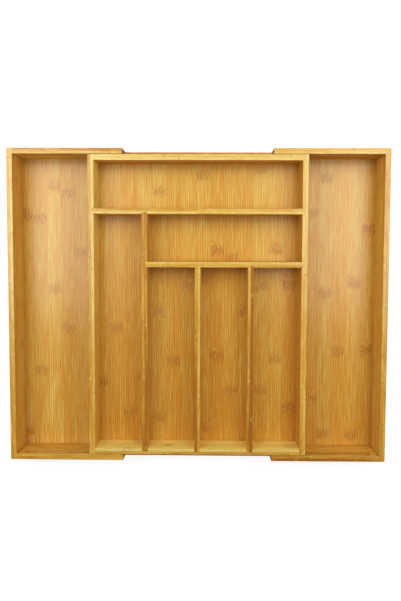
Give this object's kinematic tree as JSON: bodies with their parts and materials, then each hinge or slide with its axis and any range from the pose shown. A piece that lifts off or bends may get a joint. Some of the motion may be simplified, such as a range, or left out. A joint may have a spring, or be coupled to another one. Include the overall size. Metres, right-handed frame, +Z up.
{
  "type": "expandable cutlery tray",
  "caption": "Expandable bamboo cutlery tray for a drawer: a divided centre tray with sliding side wings, comb-jointed corners and rounded rims.",
  "frame": {"origin": "under the middle of the tray, on the surface it stands on", "axes": "+X to the right along the direction in which the wings slide, +Y to the back, +Z up"},
  "size_m": [0.5602, 0.463, 0.065],
  "materials": {
    "wall_bamboo": "clear satin lacquer over laminated bamboo",
    "divider_bamboo": "clear satin lacquer over laminated bamboo",
    "floor_bamboo": "clear satin lacquer over a bamboo strip panel",
    "runner_bamboo": "sanded bamboo, waxed"
  },
  "bodies": {
    "centre_tray": {"centre_back_wall": "wall_bamboo", "centre_front_wall": "wall_bamboo", "centre_left_wall": "wall_bamboo", "centre_right_wall": "wall_bamboo", "centre_floor": "floor_bamboo", "long_cross_divider": "divider_bamboo", "left_lengthwise_divider": "divider_bamboo", "short_cross_divider": "divider_bamboo", "middle_lengthwise_divider": "divider_bamboo", "right_lengthwise_divider": "divider_bamboo", "left_back_runner": "runner_bamboo", "left_front_runner": "runner_bamboo", "right_back_runner": "runner_bamboo", "right_front_runner": "runner_bamboo"},
    "left_wing": {"left_wing_side_wall": "wall_bamboo", "left_wing_back_wall": "wall_bamboo", "left_wing_front_wall": "wall_bamboo", "left_wing_floor": "floor_bamboo"},
    "right_wing": {"right_wing_side_wall": "wall_bamboo", "right_wing_back_wall": "wall_bamboo", "right_wing_front_wall": "wall_bamboo", "right_wing_floor": "floor_bamboo"}
  },
  "joints": [
    {"name": "left_wing_slide", "type": "slide", "parent": "centre_tray", "child": "left_wing", "axis": [1, 0, 0], "range_m": [0, 0.109]},
    {"name": "right_wing_slide", "type": "slide", "parent": "centre_tray", "child": "right_wing", "axis": [-1, 0, 0], "range_m": [0, 0.109]}
  ]
}
